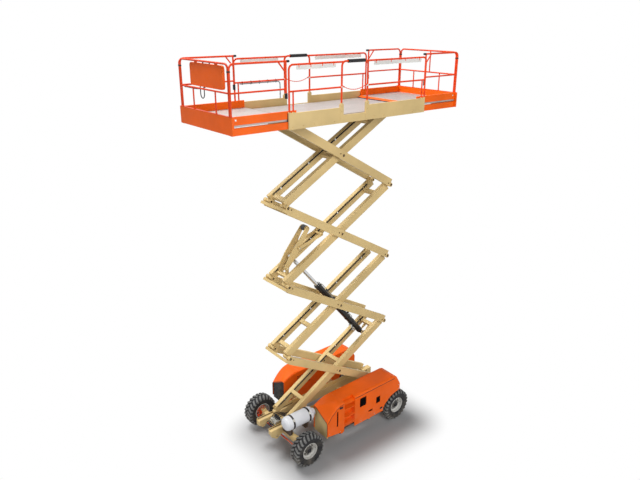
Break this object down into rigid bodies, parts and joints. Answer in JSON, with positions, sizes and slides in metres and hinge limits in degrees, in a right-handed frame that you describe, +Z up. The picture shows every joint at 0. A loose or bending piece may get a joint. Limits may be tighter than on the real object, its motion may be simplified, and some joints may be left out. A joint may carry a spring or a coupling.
{
  "type": "scissor lift",
  "caption": "Rough-terrain scissor lift: wheeled chassis with side covers, crossed arm stack with a lift cylinder, railed platform with sliding deck extensions at both ends.",
  "frame": {"origin": "on the floor, under the middle of the machine's outline", "axes": "+X toward the rear (fixed-wheel) end, +Y toward the side away from the gas bottle, +Z up"},
  "size_m": [5.99, 2.24, 9.0344],
  "materials": {
    "cream_paint": "semi-gloss paint",
    "orange_paint": "semi-gloss paint",
    "red_paint": "semi-gloss paint",
    "black_paint": "semi-gloss paint",
    "chrome": "polished",
    "deck": "tread plate",
    "tyre": "matte",
    "rim": "satin paint",
    "engine": "rough",
    "dark_steel": "satin paint",
    "bottle": "gloss paint",
    "foam": "matte",
    "cable": "satin",
    "chain": "satin"
  },
  "bodies": {
    "chassis": {"chassis_frame": "cream_paint", "cross_beams": "cream_paint", "front_axle": "cream_paint", "rear_axle": "cream_paint", "left_tray": "cream_paint", "right_tray": "cream_paint", "left_wall": "orange_paint", "right_wall": "orange_paint", "engine_block": "engine", "oil_tank": "dark_steel", "gas_bottle": "bottle", "bottle_cradle": "dark_steel"},
    "hood_left": {"left_hood": "orange_paint"},
    "hood_right": {"right_hood": "orange_paint"},
    "knuckle_left": {"left_knuckle": "red_paint"},
    "knuckle_right": {"right_knuckle": "red_paint"},
    "tie": {"tie_rod": "red_paint"},
    "outer_1": {"outer_arm_1": "cream_paint"},
    "inner_1": {"inner_arm_1": "cream_paint"},
    "inner_2": {"inner_arm_2": "cream_paint"},
    "outer_2": {"outer_arm_2": "cream_paint"},
    "outer_3": {"outer_arm_3": "cream_paint"},
    "inner_3": {"inner_arm_3": "cream_paint"},
    "inner_4": {"inner_arm_4": "cream_paint"},
    "outer_4": {"outer_arm_4": "cream_paint"},
    "barrel": {"lift_barrel": "black_paint"},
    "rod": {"lift_rod": "chrome"},
    "lever": {"lift_lever": "cream_paint"},
    "link": {"lever_link": "dark_steel"},
    "platform": {"platform_frame": "cream_paint", "main_deck": "deck", "guard_rails": "orange_paint", "entry_pads": "foam", "left_chain": "chain", "right_chain": "chain", "control_cable": "cable"},
    "ext_front": {"front_ext_frame": "orange_paint", "front_ext_deck": "deck", "front_ext_rails": "orange_paint", "control_box": "orange_paint"},
    "ext_rear": {"rear_ext_frame": "orange_paint", "rear_ext_deck": "deck", "rear_ext_rails": "orange_paint"},
    "wheel_fl": {"tyre_fl": "tyre", "rim_fl": "rim"},
    "wheel_fr": {"tyre_fr": "tyre", "rim_fr": "rim"},
    "wheel_rl": {"tyre_rl": "tyre", "rim_rl": "rim"},
    "wheel_rr": {"tyre_rr": "tyre", "rim_rr": "rim"}
  },
  "joints": [
    {"name": "lift", "type": "hinge", "parent": "chassis", "child": "outer_1", "pos_m": [1.522, 0, 0.765], "axis": [0, 1, 0], "range_deg": [-27.78, 24.48]},
    {"name": "inner_2_turn", "type": "hinge", "parent": "outer_1", "child": "inner_2", "pos_m": [-1.44972, 0, 2.54494], "axis": [0, 1, 0], "range_deg": [-49.46, 56.06]},
    {"name": "outer_3_turn", "type": "hinge", "parent": "inner_2", "child": "outer_3", "pos_m": [1.522, 0, 4.32489], "axis": [0, 1, 0], "range_deg": [-56.06, 49.46]},
    {"name": "inner_4_turn", "type": "hinge", "parent": "outer_3", "child": "inner_4", "pos_m": [-1.44972, 0, 6.10483], "axis": [0, 1, 0], "range_deg": [-49.46, 56.06]},
    {"name": "platform_level", "type": "hinge", "parent": "inner_4", "child": "platform", "pos_m": [1.37444, 0, 7.7964], "axis": [0, 1, 0], "range_deg": [-28.28, 24.98]},
    {"name": "inner_1_turn", "type": "hinge", "parent": "outer_1", "child": "inner_1", "pos_m": [0.03614, 0, 1.65497], "axis": [0, 1, 0], "range_deg": [-49.46, 56.06]},
    {"name": "outer_2_turn", "type": "hinge", "parent": "inner_2", "child": "outer_2", "pos_m": [0.03614, 0, 3.43492], "axis": [0, 1, 0], "range_deg": [-56.06, 49.46]},
    {"name": "inner_3_turn", "type": "hinge", "parent": "outer_3", "child": "inner_3", "pos_m": [0.03614, 0, 5.21486], "axis": [0, 1, 0], "range_deg": [-49.46, 56.06]},
    {"name": "outer_4_turn", "type": "hinge", "parent": "inner_4", "child": "outer_4", "pos_m": [0.03614, 0, 6.99481], "axis": [0, 1, 0], "range_deg": [-56.06, 49.46]},
    {"name": "barrel_turn", "type": "hinge", "parent": "inner_1", "child": "barrel", "pos_m": [1.09232, 0, 2.21531], "axis": [0, 1, 0], "range_deg": [-66.91, 59.02]},
    {"name": "rod_slide", "type": "slide", "parent": "barrel", "child": "rod", "axis": [-0.6438, 0, 0.7652], "range_m": [-1.0091, 0.8904]},
    {"name": "lever_turn", "type": "hinge", "parent": "inner_3", "child": "lever", "pos_m": [-1.29856, 0, 4.6369], "axis": [0, 1, 0], "range_deg": [-18.86, 21.34]},
    {"name": "link_turn", "type": "hinge", "parent": "lever", "child": "link", "pos_m": [-0.95312, 0, 5.02764], "axis": [0, 1, 0], "range_deg": [-35.5, 31.34]},
    {"name": "steer", "type": "hinge", "parent": "chassis", "child": "knuckle_left", "pos_m": [-1.42, -0.86, 0.407], "axis": [0, 0, 1], "range_deg": [-30, 30]},
    {"name": "steer_right", "type": "hinge", "parent": "chassis", "child": "knuckle_right", "pos_m": [-1.42, 0.86, 0.407], "axis": [0, 0, 1], "range_deg": [-30.5, 30.5]},
    {"name": "tie_rod_turn", "type": "hinge", "parent": "knuckle_left", "child": "tie", "pos_m": [-1.545, -0.86, 0.407], "axis": [0, 0, 1], "range_deg": [-30.5, 30.5]},
    {"name": "wheel_fl_roll", "type": "hinge", "parent": "knuckle_left", "child": "wheel_fl", "pos_m": [-1.42, -0.974, 0.407], "axis": [0, 1, 0], "continuous": true},
    {"name": "wheel_fr_roll", "type": "hinge", "parent": "knuckle_right", "child": "wheel_fr", "pos_m": [-1.42, 0.974, 0.407], "axis": [0, 1, 0], "continuous": true},
    {"name": "wheel_rl_roll", "type": "hinge", "parent": "chassis", "child": "wheel_rl", "pos_m": [1.42, -0.974, 0.407], "axis": [0, 1, 0], "continuous": true},
    {"name": "wheel_rr_roll", "type": "hinge", "parent": "chassis", "child": "wheel_rr", "pos_m": [1.42, 0.974, 0.407], "axis": [0, 1, 0], "continuous": true},
    {"name": "left_hood_tilt", "type": "hinge", "parent": "chassis", "child": "hood_left", "pos_m": [0, -1.092, 0.47], "axis": [1, 0, 0], "range_deg": [0, 55]},
    {"name": "right_hood_tilt", "type": "hinge", "parent": "chassis", "child": "hood_right", "pos_m": [0, 1.092, 0.47], "axis": [-1, 0, 0], "range_deg": [0, 55]},
    {"name": "front_ext_slide", "type": "slide", "parent": "platform", "child": "ext_front", "axis": [-1, 0, 0], "range_m": [-1.13, 0]},
    {"name": "rear_ext_slide", "type": "slide", "parent": "platform", "child": "ext_rear", "axis": [1, 0, 0], "range_m": [-1.03, 0]}
  ],
  "couplings": [
    {"joint": "inner_2_turn", "follows": "lift", "ratio": -2},
    {"joint": "outer_3_turn", "follows": "lift", "ratio": 2},
    {"joint": "inner_4_turn", "follows": "lift", "ratio": -2},
    {"joint": "platform_level", "follows": "lift", "ratio": 1},
    {"joint": "inner_1_turn", "follows": "lift", "ratio": -2},
    {"joint": "outer_2_turn", "follows": "lift", "ratio": 2},
    {"joint": "inner_3_turn", "follows": "lift", "ratio": -2},
    {"joint": "outer_4_turn", "follows": "lift", "ratio": 2},
    {"joint": "barrel_turn", "follows": "lift", "ratio": 2.3907},
    {"joint": "rod_slide", "follows": "lift", "m_per_rad": 2.0606},
    {"joint": "lever_turn", "follows": "lift", "ratio": -0.75},
    {"joint": "link_turn", "follows": "lift", "ratio": 1.2599},
    {"joint": "steer_right", "follows": "steer", "ratio": 1},
    {"joint": "tie_rod_turn", "follows": "steer", "ratio": -1}
  ]
}
